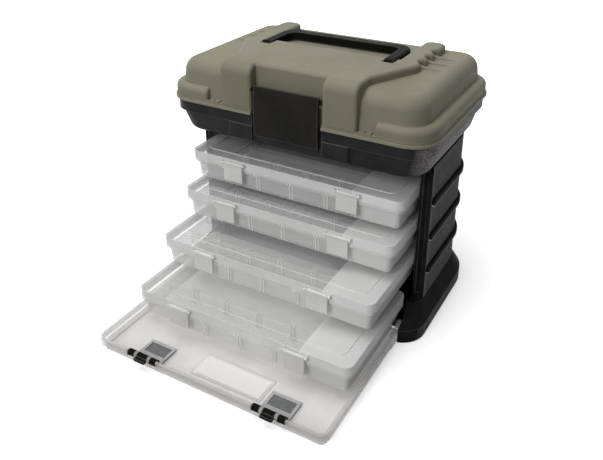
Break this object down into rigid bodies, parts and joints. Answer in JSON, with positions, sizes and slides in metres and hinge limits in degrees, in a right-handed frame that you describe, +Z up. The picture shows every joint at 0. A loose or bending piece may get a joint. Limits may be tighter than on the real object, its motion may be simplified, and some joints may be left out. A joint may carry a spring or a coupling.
{
  "type": "tackle box",
  "caption": "Hard plastic tackle box with a hinged lid over a deep tray, sliding clear utility boxes below it and a clear drop-down front door.",
  "frame": {"origin": "on the floor under the middle of the lid, at the crossing of the ribs under the base", "axes": "+Z up, -Y to the front where the boxes slide out, +X to the right seen from the front"},
  "size_m": [0.288, 0.353, 0.2616],
  "materials": {
    "olive": "fine grain",
    "graphite": "pebbled",
    "black": "satin",
    "steel": "satin",
    "frosted_clear": "frosted clear",
    "divider_white": "frosted",
    "clear_door": "frosted clear",
    "grey_pad": "frosted"
  },
  "bodies": {
    "case": {"base": "graphite", "left_side_wall": "graphite", "right_side_wall": "graphite", "back_wall": "graphite", "top_tray": "graphite", "tray_screws": "steel", "base_screws": "steel", "door_hinge_pins": "black", "lid_hinge_pins": "steel"},
    "lid": {"lid_shell": "olive", "handle_pins": "steel", "front_latch_pin": "black"},
    "handle": {"handle": "black"},
    "front_latch": {"front_latch": "black"},
    "door": {"door_panel": "clear_door", "door_latch_pads": "grey_pad"},
    "door_clip_left": {"door_clip_left": "black"},
    "door_clip_right": {"door_clip_right": "black"},
    "box_1": {"box_1_tray": "frosted_clear", "box_1_hinge_pins": "frosted_clear", "box_1_spare_dividers": "divider_white"},
    "box_1_lid": {"box_1_lid": "frosted_clear"},
    "box_1_latch_left": {"box_1_latch_left": "frosted_clear"},
    "box_1_latch_right": {"box_1_latch_right": "frosted_clear"},
    "box_2": {"box_2_tray": "frosted_clear", "box_2_hinge_pins": "frosted_clear", "box_2_spare_dividers": "divider_white"},
    "box_2_lid": {"box_2_lid": "frosted_clear"},
    "box_2_latch_left": {"box_2_latch_left": "frosted_clear"},
    "box_2_latch_right": {"box_2_latch_right": "frosted_clear"},
    "box_3": {"box_3_tray": "frosted_clear", "box_3_hinge_pins": "frosted_clear", "box_3_spare_dividers": "divider_white"},
    "box_3_lid": {"box_3_lid": "frosted_clear"},
    "box_3_latch_left": {"box_3_latch_left": "frosted_clear"},
    "box_3_latch_right": {"box_3_latch_right": "frosted_clear"},
    "box_4": {"box_4_tray": "frosted_clear", "box_4_hinge_pins": "frosted_clear", "box_4_spare_dividers": "divider_white"},
    "box_4_lid": {"box_4_lid": "frosted_clear"},
    "box_4_latch_left": {"box_4_latch_left": "frosted_clear"},
    "box_4_latch_right": {"box_4_latch_right": "frosted_clear"}
  },
  "joints": [
    {"name": "lid_hinge", "type": "hinge", "parent": "case", "child": "lid", "pos_m": [0, 0.101, 0.211], "axis": [-1, 0, 0], "range_deg": [0, 105]},
    {"name": "handle_swing", "type": "hinge", "parent": "lid", "child": "handle", "pos_m": [0, -0.014, 0.2571], "axis": [1, 0, 0], "range_deg": [0, 95]},
    {"name": "front_latch_swing", "type": "hinge", "parent": "lid", "child": "front_latch", "pos_m": [0, -0.0916, 0.2362], "axis": [-1, 0, 0], "range_deg": [0, 100]},
    {"name": "door_hinge", "type": "hinge", "parent": "case", "child": "door", "pos_m": [0, -0.081, 0.012], "axis": [-1, 0, 0], "range_deg": [-20, 2]},
    {"name": "door_clip_left_swing", "type": "hinge", "parent": "door", "child": "door_clip_left", "pos_m": [-0.07, -0.2408, 0.0105], "axis": [-1, 0, 0], "range_deg": [0, 90]},
    {"name": "door_clip_right_swing", "type": "hinge", "parent": "door", "child": "door_clip_right", "pos_m": [0.07, -0.2408, 0.0105], "axis": [-1, 0, 0], "range_deg": [0, 90]},
    {"name": "box_1_slide", "type": "slide", "parent": "case", "child": "box_1", "axis": [0, -1, 0], "range_m": [0, 0.1]},
    {"name": "box_1_lid_hinge", "type": "hinge", "parent": "box_1", "child": "box_1_lid", "pos_m": [0, 0.0406, 0.1439], "axis": [-1, 0, 0], "range_deg": [0, 8]},
    {"name": "box_1_latch_left_swing", "type": "hinge", "parent": "box_1_lid", "child": "box_1_latch_left", "pos_m": [-0.065, -0.0917, 0.1505], "axis": [-1, 0, 0], "range_deg": [0, 90]},
    {"name": "box_1_latch_right_swing", "type": "hinge", "parent": "box_1_lid", "child": "box_1_latch_right", "pos_m": [0.065, -0.0917, 0.1505], "axis": [-1, 0, 0], "range_deg": [0, 90]},
    {"name": "box_2_slide", "type": "slide", "parent": "case", "child": "box_2", "axis": [0, -1, 0], "range_m": [-0.017, 0.083]},
    {"name": "box_2_lid_hinge", "type": "hinge", "parent": "box_2", "child": "box_2_lid", "pos_m": [0, 0.0236, 0.1056], "axis": [-1, 0, 0], "range_deg": [0, 2.5]},
    {"name": "box_2_latch_left_swing", "type": "hinge", "parent": "box_2_lid", "child": "box_2_latch_left", "pos_m": [-0.065, -0.1087, 0.1122], "axis": [-1, 0, 0], "range_deg": [0, 90]},
    {"name": "box_2_latch_right_swing", "type": "hinge", "parent": "box_2_lid", "child": "box_2_latch_right", "pos_m": [0.065, -0.1087, 0.1122], "axis": [-1, 0, 0], "range_deg": [0, 90]},
    {"name": "box_3_slide", "type": "slide", "parent": "case", "child": "box_3", "axis": [0, -1, 0], "range_m": [-0.057, 0.043]},
    {"name": "box_3_lid_hinge", "type": "hinge", "parent": "box_3", "child": "box_3_lid", "pos_m": [0, -0.0164, 0.0673], "axis": [-1, 0, 0], "range_deg": [0, 2.5]},
    {"name": "box_3_latch_left_swing", "type": "hinge", "parent": "box_3_lid", "child": "box_3_latch_left", "pos_m": [-0.065, -0.1487, 0.0739], "axis": [-1, 0, 0], "range_deg": [0, 90]},
    {"name": "box_3_latch_right_swing", "type": "hinge", "parent": "box_3_lid", "child": "box_3_latch_right", "pos_m": [0.065, -0.1487, 0.0739], "axis": [-1, 0, 0], "range_deg": [0, 90]},
    {"name": "box_4_slide", "type": "slide", "parent": "case", "child": "box_4", "axis": [0, -1, 0], "range_m": [-0.1, 0]},
    {"name": "box_4_lid_hinge", "type": "hinge", "parent": "box_4", "child": "box_4_lid", "pos_m": [0, -0.0594, 0.029], "axis": [-1, 0, 0], "range_deg": [0, 2.5]},
    {"name": "box_4_latch_left_swing", "type": "hinge", "parent": "box_4_lid", "child": "box_4_latch_left", "pos_m": [-0.065, -0.1917, 0.0356], "axis": [-1, 0, 0], "range_deg": [0, 90]},
    {"name": "box_4_latch_right_swing", "type": "hinge", "parent": "box_4_lid", "child": "box_4_latch_right", "pos_m": [0.065, -0.1917, 0.0356], "axis": [-1, 0, 0], "range_deg": [0, 90]}
  ]
}
